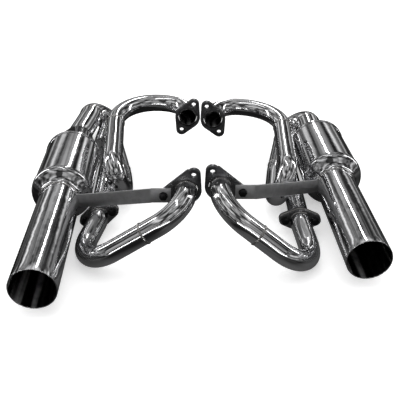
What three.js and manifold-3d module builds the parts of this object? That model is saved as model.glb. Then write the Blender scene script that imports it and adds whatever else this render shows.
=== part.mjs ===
// Twin-bank racing exhaust for a flat-four engine: two mirrored banks, each with two primaries,
// a merge collector, a straight-through muffler, a plain tail tip and a support strap.
// Millimetres, +Z up. The banks lie on a flat surface with their tips toward -Y, and the origin
// is the centre of the bottom face of the bounding box.
import * as THREE from 'three';
import { mergeVertices } from 'three/addons/utils/BufferGeometryUtils.js';
import Module from 'manifold-3d';

const wasm = await Module();
wasm.setup();

// ---- Driving dimensions ----------------------------------------------------------------------

const GAP = 0.3;                    // clearance left where two pieces touch
const PRIMARY_R = 19.05;            // 38.1 mm outside diameter primaries
const PRIMARY_WALL = 1.6;
const COLLECTOR_R = 27;             // 54 mm outside diameter collector, return bend and inlet
const COLLECTOR_WALL = 1.6;
const HOOK_R = 41;                  // bend radius of the front primary's hook
const ARCH_OVERRUN = 2;             // straight tube between the arch bend and its weld
const RETURN_BEND_R = 150;
const RETURN_LENGTH = 100;
const SWEEP_SEAM = 25;              // straight run before the weld in the rear primary
const TUBE_SIDES = 12;
const BIG_TUBE_SIDES = 14;
const BEND_STEP = Math.PI / 8;      // one section every 22.5 degrees of bend

const COLLECTOR_START = 262;        // Y where the full collector tube begins
const COLLECTOR_LEAD = 30;          // how far each primary runs straight into the collector
const COLLECTOR_LEAD_R = 38;        // bend that turns each primary into the collector
const COLLECTOR_MERGE = 26;         // length over which the primaries sink into the tube
const INLET_LEAD = 16;              // straight run at each end of the muffler inlet tube
const INLET_LEAD_R = 120;
const BOSS_R = 8;                   // plugged sensor boss standing on the collector
const BOSS_TOP = 72;
const BOSS_SIDES = 12;

const FLANGE_THICK = 8;
const FLANGE_BORE_R = (PRIMARY_R + GAP) / Math.cos(Math.PI / TUBE_SIDES);
const FLANGE_CENTRE_R = 27;
const FLANGE_LOBE_R = 11.8;
const STUD_OFFSET = 32;             // stud centre to port centre
const STUD_TILT = THREE.MathUtils.degToRad(65);
const STUD_HOLE_R = 4.5;
const SEAT_R = 24.5;                // raised gasket seat round the port
const SEAT_HEIGHT = 1.2;
const TUBE_SET_BACK = 2;            // a tube stops this far short of the flange face

const JOINT_LEAD = 20;              // the rear primary's last run, square to the joint
const JOINT_LEAD_R = 50;
const JOINT_THICK = 5;
const JOINT_CENTRE_R = 23;
const JOINT_LOBE_R = 11.5;
const JOINT_BOLT_OFFSET = 27.5;
const JOINT_GASKET = 1.5;
const BOLT_R = 3.9;                 // M8 shank
const BOLT_HOLE_R = 4.3;
const BOLT_HEAD_R = 7.5;            // 13 mm across flats
const BOLT_HEAD_THICK = 5.3;
const NUT_THICK = 6.5;
const BOLT_TAIL = 4;                // thread left proud of the nut
const JOINT_SET_BACK = JOINT_GASKET / 2 + GAP + 2;

const TIP_R = 38.1;
const TIP_WALL = 1.5;
const SHELL_R = 56.3;
const SHELL_WALL = 1.4;
const SHELL_LENGTH = 170;
const RIM_R = 57.9;                 // rolled edge of each end cap
const RIM_LENGTH = 6;
const CAP_THICK = 1.5;
const CAP_DISH = 3;
const NECK_LENGTH = 25;             // the front cap tapers forward to the tail tip
const NECK_R = 40;
const SHELL_START = CAP_DISH + CAP_THICK + GAP;   // shell's inset behind each cap's rim plane
const AXIS_HEIGHT = RIM_R + 0.2;    // muffler axis above the surface the banks lie on
const CORE_R = 26.8;
const CORE_WALL = 1.2;
const CORE_HOLE_R = 3;
const CORE_HOLES_ROUND = 6;
const CORE_HOLE_ROWS = 2;
const CONE_WALL = 1.6;
const CONE_BASE_R = 54;
const LATHE_SIDES = 24;

const STRAP_HEIGHT = 28;
const STRAP_THICK = 3;
const STRAP_EAR = 13;               // bar past the bolt, on the port side
const STRAP_BEND = 22;              // bar from the bolt to the bend
const BRACKET_THICK = 5;
const BRACKET_BOLT = [39, -8.5];    // strap bolt from the port centre, outboard and up
const BRACKET_OUTLINE = [
  [-5.5, 42], [48, -4], [51, -11], [48, -20], [38, -24], [24, -18], [10, -5], [-5, 25],
];

// Each bank's own places, as distance outboard of the middle plane, Y and height. The banks are
// mirror images, bent and hung by hand, so the same pieces land a few millimetres apart.
const BANKS = {
  left: {
    side: -1,
    frontPort: [27, 217, 124],
    archRise: 73,
    archCorner: [188.6, 296, 134],
    archRadii: [58, 92],
    legEnd: [169, 32, 103],
    returnStart: [145, 2, 19.4],
    returnMid: [160, 100, 42],
    returnEnd: [190, 215, 58],
    rearPort: [24, -96, 123],
    stub: 72,
    sweepCorner: [205, -185, 14],
    hookCorner: [203, -106, 21],
    jointCentre: [191, -34, 30],
    jointRoll: 20,
    sweepRadii: [60, 60, 50],
    riserEnd: [206, 215, 20],
    mouth: [252.5, -291],
    mouthToRim: 289,
    coneLength: 94,
    inlet: [272, 150],
    returnBend: { inlet: 270, collector: 223, y: 388, collectorHeight: 28.7, boss: [229, 364] },
    strapEnd: [226.5, -33, 61.5],
  },
  right: {
    side: 1,
    frontPort: [28, 205, 124],
    archRise: 72,
    archCorner: [181, 290, 120],
    archRadii: [59, 92],
    legEnd: [167, -2, 106],
    returnStart: [142, -2, 19.4],
    returnMid: [157, 100, 52],
    returnEnd: [182.5, 215, 71],
    rearPort: [35, -89, 126],
    stub: 74,
    sweepCorner: [191, -205, 14],
    hookCorner: [193, -120, 21],
    jointCentre: [187, -48, 30],
    jointRoll: 0,
    sweepRadii: [66, 58, 50],
    riserEnd: [193.5, 215, 20],
    mouth: [273, -217],
    mouthToRim: 273,
    coneLength: 34,
    inlet: [261, 219],
    returnBend: { inlet: 260, collector: 213, y: 335, collectorHeight: 28.7, boss: [215, 312] },
    strapEnd: [226.5, 25, 60.6],
  },
};

// ---- Materials -------------------------------------------------------------------------------

const FINISHES = {
  polished_stainless: { color: 0xc9cbcd, roughness: 0.08, metalness: 1 },
  shell_stainless: { color: 0xbfc1c4, roughness: 0.1, metalness: 1 },
  plated_flange: { color: 0x55575a, roughness: 0.25, metalness: 1 },
  plated_strap: { color: 0x5f6164, roughness: 0.3, metalness: 1 },
  black_fastener: { color: 0x141415, roughness: 0.45, metalness: 0.8 },
  fibre_gasket: { color: 0x6e6b66, roughness: 0.85, metalness: 0 },
  core_steel: { color: 0x77787a, roughness: 0.5, metalness: 1 },
  glass_packing: { color: 0xd9cfa8, roughness: 0.95, metalness: 0 },
};

// ---- Solids ----------------------------------------------------------------------------------

function toSolid(geometry) {
  const bare = geometry.clone();
  bare.deleteAttribute('normal');
  bare.deleteAttribute('uv');
  const merged = mergeVertices(bare, 1e-4);
  const vertProperties = new Float32Array(merged.attributes.position.array);
  const triVerts = new Uint32Array(merged.index.array);
  return new wasm.Manifold(new wasm.Mesh({ numProp: 3, vertProperties, triVerts }));
}

function toGeometry(solid) {
  const mesh = solid.getMesh();
  const geometry = new THREE.BufferGeometry();
  geometry.setAttribute('position', new THREE.BufferAttribute(new Float32Array(mesh.vertProperties), 3));
  geometry.setIndex(new THREE.BufferAttribute(new Uint32Array(mesh.triVerts), 1));
  return geometry;
}

const unite = (geometries) => toGeometry(geometries.map(toSolid).reduce((sum, next) => sum.add(next)));

function cut(geometry, tools) {
  return toGeometry(tools.map(toSolid).reduce((left, tool) => left.subtract(tool), toSolid(geometry)));
}

function ring(outer, inner, sides) {
  const shape = new THREE.Shape(circlePoints(outer, sides));
  if (inner > 0) shape.holes.push(new THREE.Path(circlePoints(inner, sides)));
  return shape;
}

function circlePoints(radius, sides, x = 0, y = 0) {
  return Array.from({ length: sides }, (_, i) => {
    const angle = (i + 0.5) * 2 * Math.PI / sides;
    return new THREE.Vector2(x + radius * Math.cos(angle), y + radius * Math.sin(angle));
  });
}

// A round bar along Y from y = 0 to y = length.
function barAlongY(radius, length, sides) {
  const bar = new THREE.CylinderGeometry(radius, radius, length, sides);
  bar.translate(0, length / 2, 0);
  return bar;
}

// A plate whose outline is drawn in X and Z, from y = 0 to y = thickness.
function plate(shape, thickness) {
  const slab = new THREE.ExtrudeGeometry(shape, { depth: thickness, bevelEnabled: false, curveSegments: 6 });
  slab.rotateX(Math.PI / 2);
  slab.translate(0, thickness, 0);
  return slab;
}

// A solid of revolution about Y from a closed profile of [radius, y] points.
function lathe(profile) {
  const points = [...profile, profile[0]].map(([radius, y]) => new THREE.Vector2(radius, y));
  return new THREE.LatheGeometry(points, LATHE_SIDES);
}

// ---- Tube runs -------------------------------------------------------------------------------

// A centreline of straight runs and true arcs through a list of corners.
class BentLine {
  constructor(corners, radii) {
    this.pieces = [];
    let start = corners[0];
    for (let i = 1; i < corners.length - 1; i += 1) {
      const back = corners[i - 1].clone().sub(corners[i]).normalize();
      const ahead = corners[i + 1].clone().sub(corners[i]).normalize();
      const turn = Math.PI - back.angleTo(ahead);
      const setBack = radii[i - 1] * Math.tan(turn / 2);
      const from = corners[i].clone().addScaledVector(back, setBack);
      const middle = back.clone().add(ahead).normalize();
      const centre = corners[i].clone().addScaledVector(middle, radii[i - 1] / Math.cos(turn / 2));
      this.addStraight(start, from);
      this.pieces.push({
        centre,
        across: from.clone().sub(centre),
        along: back.clone().negate().multiplyScalar(radii[i - 1]),
        turn,
        length: turn * radii[i - 1],
      });
      start = corners[i].clone().addScaledVector(ahead, setBack);
    }
    this.addStraight(start, corners.at(-1));
    this.length = this.pieces.reduce((sum, piece) => sum + piece.length, 0);
  }

  addStraight(from, to) {
    this.pieces.push({ from, step: to.clone().sub(from).normalize(), turn: 0, length: from.distanceTo(to) });
  }

  // The point and direction at a distance along the line.
  at(distance) {
    let left = distance;
    const last = this.pieces.at(-1);
    const piece = this.pieces.find((candidate) => {
      if (left <= candidate.length || candidate === last) return true;
      left -= candidate.length;
      return false;
    });
    if (piece.turn === 0) {
      return { point: piece.from.clone().addScaledVector(piece.step, left), tangent: piece.step.clone() };
    }
    const angle = piece.turn * left / piece.length;
    return {
      point: piece.centre.clone()
        .addScaledVector(piece.across, Math.cos(angle))
        .addScaledVector(piece.along, Math.sin(angle)),
      tangent: piece.along.clone().multiplyScalar(Math.cos(angle))
        .addScaledVector(piece.across, -Math.sin(angle)).normalize(),
    };
  }

  // Sections from one distance to another: at each end, each joint, and every step of a bend.
  sections(from, to) {
    const distances = [from];
    let start = 0;
    for (const piece of this.pieces) {
      const parts = piece.turn === 0 ? 1 : Math.ceil(piece.turn / BEND_STEP);
      for (let i = 0; i <= parts; i += 1) {
        const distance = start + piece.length * i / parts;
        if (distance > distances.at(-1) + 1 && distance < to - 1) distances.push(distance);
      }
      start += piece.length;
    }
    distances.push(to);
    return distances.map((distance) => this.at(distance));
  }
}

// A three.js curve that steps from section to section instead of by equal lengths.
class SectionCurve extends THREE.Curve {
  constructor(sections) {
    super();
    this.sections = sections;
  }

  nearest(u) {
    return this.sections[Math.round(u * (this.sections.length - 1))];
  }

  getPointAt(u) {
    return this.nearest(u).point.clone();
  }

  getTangentAt(u) {
    return this.nearest(u).tangent.clone();
  }
}

function sweep(line, from, to, shape) {
  const sections = line.sections(from, to);
  return new THREE.ExtrudeGeometry(shape, {
    steps: sections.length - 1,
    extrudePath: new SectionCurve(sections),
    bevelEnabled: false,
  });
}

const primaryTube = (line, from, to) => sweep(
  line, from, to, ring(PRIMARY_R, PRIMARY_R - PRIMARY_WALL, TUBE_SIDES),
);
const bigTube = (line, from, to) => sweep(
  line, from, to, ring(COLLECTOR_R, COLLECTOR_R - COLLECTOR_WALL, BIG_TUBE_SIDES),
);

// ---- Flanges and fasteners -------------------------------------------------------------------

// The outline round a centre circle and two smaller end circles, as one smooth oval.
function ovalOutline(centreR, lobeR, offset, angle, grow = 0) {
  const centre = centreR + grow;
  const lobe = lobeR + grow;
  const lean = Math.acos((centre - lobe) / offset);
  const points = [];
  const arc = (x, radius, start, end, count) => {
    for (let i = 0; i <= count; i += 1) {
      const a = start + (end - start) * i / count;
      points.push(new THREE.Vector2(x + radius * Math.cos(a), radius * Math.sin(a)));
    }
  };
  arc(offset, lobe, -lean, lean, 5);
  arc(0, centre, lean, Math.PI - lean, 3);
  arc(-offset, lobe, Math.PI - lean, Math.PI + lean, 5);
  arc(0, centre, Math.PI + lean, 2 * Math.PI - lean, 3);
  return points.map((point) => point.rotateAround(new THREE.Vector2(), angle));
}

function ovalPlate({ centreR, lobeR, offset, angle, boreR, holeR, thickness }) {
  const shape = new THREE.Shape(ovalOutline(centreR, lobeR, offset, angle));
  shape.holes.push(new THREE.Path(circlePoints(boreR, TUBE_SIDES)));
  for (const end of [-offset, offset]) {
    shape.holes.push(new THREE.Path(
      circlePoints(holeR, 8, end * Math.cos(angle), end * Math.sin(angle)),
    ));
  }
  return plate(shape, thickness);
}

// The engine side of each port flange carries the raised seat. facing is -1 or 1 along Y.
function portFlange(angle, facing) {
  const body = ovalPlate({
    centreR: FLANGE_CENTRE_R,
    lobeR: FLANGE_LOBE_R,
    offset: STUD_OFFSET,
    angle,
    boreR: FLANGE_BORE_R,
    holeR: STUD_HOLE_R,
    thickness: FLANGE_THICK,
  });
  const seat = plate(ring(SEAT_R, FLANGE_BORE_R, TUBE_SIDES), SEAT_HEIGHT + 1);
  body.translate(0, facing < 0 ? 0 : -FLANGE_THICK, 0);
  seat.translate(0, facing < 0 ? -SEAT_HEIGHT : -1, 0);
  return unite([body, seat]);
}

function jointPlate(boreR, thickness) {
  return ovalPlate({
    centreR: JOINT_CENTRE_R,
    lobeR: JOINT_LOBE_R,
    offset: JOINT_BOLT_OFFSET,
    angle: 0,
    boreR,
    holeR: BOLT_HOLE_R,
    thickness,
  });
}

// A hex bolt whose head sits on y = 0 and whose shank runs toward +Y.
function hexBolt(grip) {
  const head = barAlongY(BOLT_HEAD_R, BOLT_HEAD_THICK, 6);
  head.translate(0, -BOLT_HEAD_THICK, 0);
  const shank = barAlongY(BOLT_R, grip + NUT_THICK + BOLT_TAIL + 1, 12);
  shank.translate(0, -1, 0);
  return unite([head, shank]);
}

const hexNut = () => cut(barAlongY(BOLT_HEAD_R, NUT_THICK, 6), [
  barAlongY(BOLT_R + GAP, NUT_THICK * 3, 12).translate(0, -NUT_THICK, 0),
]);

// ---- Muffler, in its own frame: axis along +Y, front cap face at y = 0 -------------------------

function tailTip(mouthToRim) {
  const root = -NECK_LENGTH - GAP;
  const inner = TIP_R - TIP_WALL;
  return lathe([[TIP_R, -mouthToRim], [TIP_R, root], [inner, root], [inner, -mouthToRim]]);
}

// A cap with a rolled rim over the shell's end. neck is how far it tapers out to its bore plate.
function endCap(neck, neckR) {
  const bore = CORE_R + GAP;
  const lip = SHELL_R + GAP;
  return lathe([
    [bore, -neck], [neckR, -neck], [lip - 1, 0], [RIM_R, CAP_DISH], [RIM_R, RIM_LENGTH + CAP_DISH],
    [lip, RIM_LENGTH + CAP_DISH], [lip, CAP_DISH + CAP_THICK], [lip - 3, CAP_DISH + CAP_THICK],
    [neckR - 2, CAP_THICK - neck], [bore, CAP_THICK - neck],
  ]);
}

const frontCap = () => endCap(NECK_LENGTH, NECK_R);

function rearCap() {
  const cap = endCap(0, CONE_BASE_R);
  cap.rotateX(Math.PI);
  cap.translate(0, SHELL_LENGTH, 0);
  return cap;
}

function mufflerShell() {
  const end = SHELL_LENGTH - SHELL_START;
  const inner = SHELL_R - SHELL_WALL;
  return lathe([[SHELL_R, SHELL_START], [SHELL_R, end], [inner, end], [inner, SHELL_START]]);
}

function perforatedCore() {
  const inner = CORE_R - CORE_WALL;
  const front = 0.5 - NECK_LENGTH;
  const back = SHELL_LENGTH - 0.5;
  const tube = lathe([[CORE_R, front], [CORE_R, back], [inner, back], [inner, front]]);
  const drills = [];
  for (let row = 1; row <= CORE_HOLE_ROWS; row += 1) {
    for (let i = 0; i < CORE_HOLES_ROUND; i += 1) {
      const drill = new THREE.CylinderGeometry(CORE_HOLE_R, CORE_HOLE_R, 8, 6);
      drill.rotateX(Math.PI / 2);
      drill.translate(0, SHELL_LENGTH * row / (CORE_HOLE_ROWS + 1), CORE_R - CORE_WALL / 2);
      drill.rotateY(2 * Math.PI * (i + row / 2) / CORE_HOLES_ROUND);
      drills.push(drill);
    }
  }
  return cut(tube, drills);
}

function packing() {
  const front = CAP_DISH + CAP_THICK + 2 * GAP;
  const back = SHELL_LENGTH - front;
  const outer = SHELL_R - SHELL_WALL - 2 * GAP;
  return lathe([[outer, front], [outer, back], [CORE_R + 2 * GAP, back], [CORE_R + 2 * GAP, front]]);
}

function inletCone(length) {
  const start = SHELL_LENGTH + GAP;
  const end = SHELL_LENGTH + length;
  return lathe([
    [CONE_BASE_R, start], [COLLECTOR_R + 2, end - 6], [COLLECTOR_R, end], [COLLECTOR_R - COLLECTOR_WALL, end],
    [COLLECTOR_R + 2 - CONE_WALL, end - 6], [CONE_BASE_R - CONE_WALL, start],
  ]);
}

// ---- One bank --------------------------------------------------------------------------------

function buildBank(name, bank) {
  const group = new THREE.Group();
  const { side } = bank;
  const at = ([out, y, z]) => new THREE.Vector3(side * out, y, z);

  const add = (node, geometry, finish, position = new THREE.Vector3(), angle = 0, parent = group) => {
    const mesh = new THREE.Mesh(geometry, new THREE.MeshStandardMaterial(FINISHES[finish]));
    mesh.name = `${name}_${node}`;
    mesh.position.copy(position);
    mesh.rotation.z = angle;
    parent.add(mesh);
  };

  // Front primary: level arch, leg, hook down and under, and the return to the collector.
  const frontPort = at(bank.frontPort);
  const archStart = frontPort.clone().add(new THREE.Vector3(0, bank.archRise, 0));
  const legEnd = at(bank.legEnd);
  const returnStart = at(bank.returnStart);
  const frontLine = new BentLine(
    [
      frontPort, archStart, at(bank.archCorner), legEnd, returnStart, at(bank.returnMid),
      at(bank.returnEnd),
    ],
    [...bank.archRadii, HOOK_R, HOOK_R, RETURN_BEND_R],
  );
  const archEnd = frontLine.pieces.slice(0, 4).reduce((sum, piece) => sum + piece.length, 0) + ARCH_OVERRUN;
  const hookEnd = frontLine.length - RETURN_LENGTH;
  add('front_port_flange', portFlange(Math.PI / 2 + side * (Math.PI / 2 - STUD_TILT), -1),
    'plated_flange', frontPort);
  add('front_arch_tube', primaryTube(frontLine, TUBE_SET_BACK, archEnd), 'polished_stainless');
  add('front_hook_tube', primaryTube(frontLine, archEnd + GAP, hookEnd), 'polished_stainless');
  add('front_return_tube', primaryTube(frontLine, hookEnd + GAP, frontLine.length), 'polished_stainless');

  // Rear primary: down and outboard from the port, round the hook, and up to the bolted joint.
  const rearPort = at(bank.rearPort);
  const stubEnd = rearPort.clone().add(new THREE.Vector3(0, -bank.stub, 0));
  const joint = at(bank.jointCentre);
  const riserEnd = at(bank.riserEnd);
  const riserWay = riserEnd.clone().sub(joint).normalize();
  const jointLead = joint.clone().addScaledVector(riserWay, -JOINT_LEAD);
  const rearLine = new BentLine(
    [rearPort, stubEnd, at(bank.sweepCorner), at(bank.hookCorner), jointLead, joint],
    [...bank.sweepRadii, JOINT_LEAD_R],
  );
  const seam = rearLine.pieces.slice(0, 2).reduce((sum, piece) => sum + piece.length, 0) + SWEEP_SEAM;
  add('rear_port_flange', portFlange(Math.PI / 2 + side * (Math.PI / 2 - STUD_TILT), 1),
    'plated_flange', rearPort);
  add('rear_sweep_tube', primaryTube(rearLine, TUBE_SET_BACK, seam), 'polished_stainless');
  add('rear_hook_tube', primaryTube(rearLine, seam + GAP, rearLine.length - JOINT_SET_BACK),
    'polished_stainless');

  // Two-bolt joint in the rear primary, square to the tube that runs on to the collector.
  const jointGroup = new THREE.Group();
  jointGroup.position.copy(joint);
  jointGroup.rotation.order = 'ZXY';
  jointGroup.rotation.z = Math.atan2(-riserWay.x, riserWay.y);
  jointGroup.rotation.x = Math.atan2(riserWay.z, Math.hypot(riserWay.x, riserWay.y));
  jointGroup.rotation.y = side * THREE.MathUtils.degToRad(bank.jointRoll);
  group.add(jointGroup);
  addJoint(add, jointGroup);

  const riserLine = new BentLine([joint, riserEnd], []);
  add('rear_riser_tube', primaryTube(riserLine, JOINT_SET_BACK, riserLine.length), 'polished_stainless');

  addCollector(add, bank, at, frontLine, riserLine);
  addMuffler(add, bank, at, group);
  addStrap(add, bank, at);
  return group;
}

function addJoint(add, parent) {
  const face = JOINT_GASKET / 2 + GAP;
  const grip = 2 * (face + JOINT_THICK);
  const origin = (x, y) => new THREE.Vector3(x, y, 0);
  add('joint_flange_lower', jointPlate(FLANGE_BORE_R, JOINT_THICK), 'plated_flange',
    origin(0, -face - JOINT_THICK), 0, parent);
  add('joint_flange_upper', jointPlate(FLANGE_BORE_R, JOINT_THICK), 'plated_flange',
    origin(0, face), 0, parent);
  add('joint_gasket', jointPlate(PRIMARY_R - PRIMARY_WALL, JOINT_GASKET), 'fibre_gasket',
    origin(0, -JOINT_GASKET / 2), 0, parent);
  for (const [label, x] of [['inner', -JOINT_BOLT_OFFSET], ['outer', JOINT_BOLT_OFFSET]]) {
    add(`joint_bolt_${label}`, hexBolt(grip + 2 * GAP), 'black_fastener',
      origin(x, -grip / 2 - GAP), 0, parent);
    add(`joint_nut_${label}`, hexNut(), 'black_fastener', origin(x, grip / 2 + GAP), 0, parent);
  }
}

// ---- Collector and return bend ---------------------------------------------------------------

function addCollector(add, bank, at, frontLine, riserLine) {
  const { returnBend } = bank;
  const mouthY = COLLECTOR_START + COLLECTOR_MERGE;
  const collectorAt = (y) => at([returnBend.collector, y, returnBend.collectorHeight]);
  const tube = (start, startWay, radius, sides) => {
    const bend = start.clone().addScaledVector(startWay, COLLECTOR_LEAD);
    const line = new BentLine([start, bend, collectorAt(mouthY)], [COLLECTOR_LEAD_R]);
    return sweep(line, GAP, line.length, ring(radius, 0, sides));
  };
  const leads = [
    [at(bank.returnEnd), frontLine.at(frontLine.length).tangent],
    [at(bank.riserEnd), riserLine.at(riserLine.length).tangent],
  ];
  const bodyLine = new BentLine([collectorAt(COLLECTOR_START), collectorAt(returnBend.y)], []);
  const body = (radius, from) => sweep(bodyLine, from, bodyLine.length, ring(radius, 0, BIG_TUBE_SIDES));
  const outer = unite([
    ...leads.map(([start, way]) => tube(start, way, PRIMARY_R, TUBE_SIDES)),
    body(COLLECTOR_R, 0),
  ]);
  const inner = [
    ...leads.map(([start, way]) => tube(
      start.clone().addScaledVector(way, -2), way, PRIMARY_R - PRIMARY_WALL, TUBE_SIDES,
    )),
    body(COLLECTOR_R - COLLECTOR_WALL, COLLECTOR_WALL).translate(0, 1, 0),
  ];
  add('merge_collector', cut(outer, inner), 'polished_stainless');

  const [bossOut, bossY] = returnBend.boss;
  const bossHeight = BOSS_TOP - returnBend.collectorHeight;
  const boss = new THREE.CylinderGeometry(BOSS_R, BOSS_R, bossHeight, BOSS_SIDES);
  const bossMiddle = at([bossOut, bossY, BOSS_TOP - bossHeight / 2]);
  boss.rotateX(Math.PI / 2);
  boss.translate(bossMiddle.x, bossMiddle.y, bossMiddle.z);
  add('sensor_boss', cut(boss, [body(COLLECTOR_R + GAP, 0)]), 'polished_stainless');

  // Return bend: a tight half turn from the collector up and over to the muffler inlet.
  const high = at([returnBend.inlet, returnBend.y, AXIS_HEIGHT]);
  const low = collectorAt(returnBend.y);
  const radius = high.distanceTo(low) / 2;
  const reach = new THREE.Vector3(0, radius, 0);
  const bendLine = new BentLine(
    [low, low.clone().add(reach), high.clone().add(reach), high],
    [radius - 0.01, radius - 0.01],
  );
  add('return_bend', bigTube(bendLine, GAP, bendLine.length - GAP), 'polished_stainless');

  const [cone, coneLead] = [GAP, INLET_LEAD].map(
    (past) => at(mufflerPoint(bank, SHELL_LENGTH + bank.coneLength + past)),
  );
  const inletLine = new BentLine(
    [cone, coneLead, high.clone().add(new THREE.Vector3(0, -INLET_LEAD, 0)), high],
    [INLET_LEAD_R, INLET_LEAD_R],
  );
  add('muffler_inlet_tube', bigTube(inletLine, GAP, inletLine.length - GAP), 'polished_stainless');
}

// ---- Muffler placement -----------------------------------------------------------------------

// A point on the muffler axis, at a distance behind the front cap.
function mufflerPoint(bank, distance) {
  const [mouthOut, mouthY] = bank.mouth;
  const [inletOut, inletY] = bank.inlet;
  const length = Math.hypot(inletOut - mouthOut, inletY - mouthY);
  const along = (bank.mouthToRim + distance) / length;
  return [mouthOut + (inletOut - mouthOut) * along, mouthY + (inletY - mouthY) * along, AXIS_HEIGHT];
}

function addMuffler(add, bank, at, group) {
  const muffler = new THREE.Group();
  const front = at(mufflerPoint(bank, 0));
  const back = at(mufflerPoint(bank, SHELL_LENGTH));
  muffler.position.copy(front);
  muffler.rotation.z = Math.atan2(front.x - back.x, back.y - front.y);
  group.add(muffler);
  const zero = new THREE.Vector3();
  add('tail_tip', tailTip(bank.mouthToRim), 'polished_stainless', zero, 0, muffler);
  add('front_end_cap', frontCap(), 'polished_stainless', zero, 0, muffler);
  add('muffler_shell', mufflerShell(), 'shell_stainless', zero, 0, muffler);
  add('rear_end_cap', rearCap(), 'polished_stainless', zero, 0, muffler);
  add('perforated_core', perforatedCore(), 'core_steel', zero, 0, muffler);
  add('packing_sleeve', packing(), 'glass_packing', zero, 0, muffler);
  add('inlet_cone', inletCone(bank.coneLength), 'polished_stainless', zero, 0, muffler);
}

// ---- Support strap ---------------------------------------------------------------------------

function addStrap(add, bank, at) {
  const { side } = bank;
  const port = at(bank.rearPort);
  const flip = ([out, up]) => new THREE.Vector2(side * out, up);
  const bolt = flip(BRACKET_BOLT);

  // The bracket is welded to the edge of the port flange and carries the strap bolt.
  const angle = Math.PI / 2 + side * (Math.PI / 2 - STUD_TILT);
  const outline = new THREE.Shape(BRACKET_OUTLINE.map(flip));
  outline.holes.push(new THREE.Path(circlePoints(BOLT_HOLE_R, 10, bolt.x, bolt.y)));
  const flangeEdge = new THREE.Shape(
    ovalOutline(FLANGE_CENTRE_R, FLANGE_LOBE_R, STUD_OFFSET, angle, GAP),
  );
  const around = plate(flangeEdge, 4 * FLANGE_THICK).translate(0, -2 * FLANGE_THICK, 0);
  const bracket = cut(plate(outline, BRACKET_THICK), [around]);
  add('strap_bracket', bracket, 'plated_flange', port.clone().add(new THREE.Vector3(0, -FLANGE_THICK, 0)));

  // The strap: a flat ear against the bracket, then the bar on edge across to the tail tip.
  const back = port.y - FLANGE_THICK - GAP;
  const boltAt = new THREE.Vector3(port.x + bolt.x, back, port.z + bolt.y);
  const bend = boltAt.clone().add(new THREE.Vector3(side * STRAP_BEND, -STRAP_THICK, 0));
  const end = at(bank.strapEnd);
  const half = STRAP_HEIGHT / 2;
  const earShape = new THREE.Shape([
    [-STRAP_EAR, -half], [STRAP_BEND, -half], [STRAP_BEND, half], [-STRAP_EAR, half],
  ].map(flip));
  earShape.holes.push(new THREE.Path(circlePoints(BOLT_HOLE_R, 10)));
  const ear = plate(earShape, STRAP_THICK).translate(boltAt.x, back - STRAP_THICK, boltAt.z);
  const reach = Math.hypot(end.x - bend.x, end.y - bend.y) + STRAP_THICK;
  const drop = end.z - bend.z;
  const barShape = new THREE.Shape([[0, -half], [reach, drop - half], [reach, drop + half], [0, half]]
    .map(([along, up]) => new THREE.Vector2(side * along, up)));
  const bar = plate(barShape, STRAP_THICK);
  bar.rotateZ(side * Math.atan2(end.y - bend.y, side * (end.x - bend.x)));
  bar.translate(bend.x, bend.y, bend.z);
  const [front, rear] = [mufflerPoint(bank, -bank.mouthToRim), mufflerPoint(bank, -NECK_LENGTH)].map(at);
  const tip = new THREE.CylinderGeometry(TIP_R + GAP, TIP_R + GAP, front.distanceTo(rear), LATHE_SIDES);
  tip.rotateZ(Math.atan2(front.x - rear.x, rear.y - front.y));
  tip.translate((front.x + rear.x) / 2, (front.y + rear.y) / 2, front.z);
  add('support_strap', cut(unite([ear, bar]), [tip]), 'plated_strap');

  const grip = BRACKET_THICK + STRAP_THICK + 3 * GAP;
  add('strap_bolt', hexBolt(grip), 'black_fastener',
    new THREE.Vector3(boltAt.x, back - STRAP_THICK - GAP, boltAt.z));
  add('strap_nut', hexNut(), 'black_fastener',
    new THREE.Vector3(boltAt.x, back + GAP * 2 + BRACKET_THICK, boltAt.z));
}

// ---- Whole exhaust ---------------------------------------------------------------------------

const assembly = new THREE.Group();
for (const [name, bank] of Object.entries(BANKS)) {
  assembly.add(buildBank(name, bank));
}

// Bring the centre of the bounding box's bottom face to the origin.
const bounds = new THREE.Box3().setFromObject(assembly, true);
const middle = bounds.getCenter(new THREE.Vector3());
assembly.position.set(-middle.x, -middle.y, -bounds.min.z);

export default assembly;
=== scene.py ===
import math

import bmesh
import bpy
from mathutils import Matrix, Vector


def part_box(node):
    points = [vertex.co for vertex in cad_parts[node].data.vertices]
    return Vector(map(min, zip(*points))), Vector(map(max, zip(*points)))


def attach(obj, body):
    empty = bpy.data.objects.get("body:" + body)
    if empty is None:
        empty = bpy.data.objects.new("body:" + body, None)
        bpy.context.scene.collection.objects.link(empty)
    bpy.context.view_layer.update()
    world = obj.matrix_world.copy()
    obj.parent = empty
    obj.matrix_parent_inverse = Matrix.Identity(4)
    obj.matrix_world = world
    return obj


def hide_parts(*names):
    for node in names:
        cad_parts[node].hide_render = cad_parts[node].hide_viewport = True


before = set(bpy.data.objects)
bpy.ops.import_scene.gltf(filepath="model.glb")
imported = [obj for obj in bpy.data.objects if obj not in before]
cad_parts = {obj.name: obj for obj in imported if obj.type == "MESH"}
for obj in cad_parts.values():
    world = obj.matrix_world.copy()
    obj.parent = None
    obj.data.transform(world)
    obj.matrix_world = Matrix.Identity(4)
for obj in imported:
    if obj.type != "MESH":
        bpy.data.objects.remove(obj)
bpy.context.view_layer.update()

# ---- Driving dimensions, millimetres ---------------------------------------------------------

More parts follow.
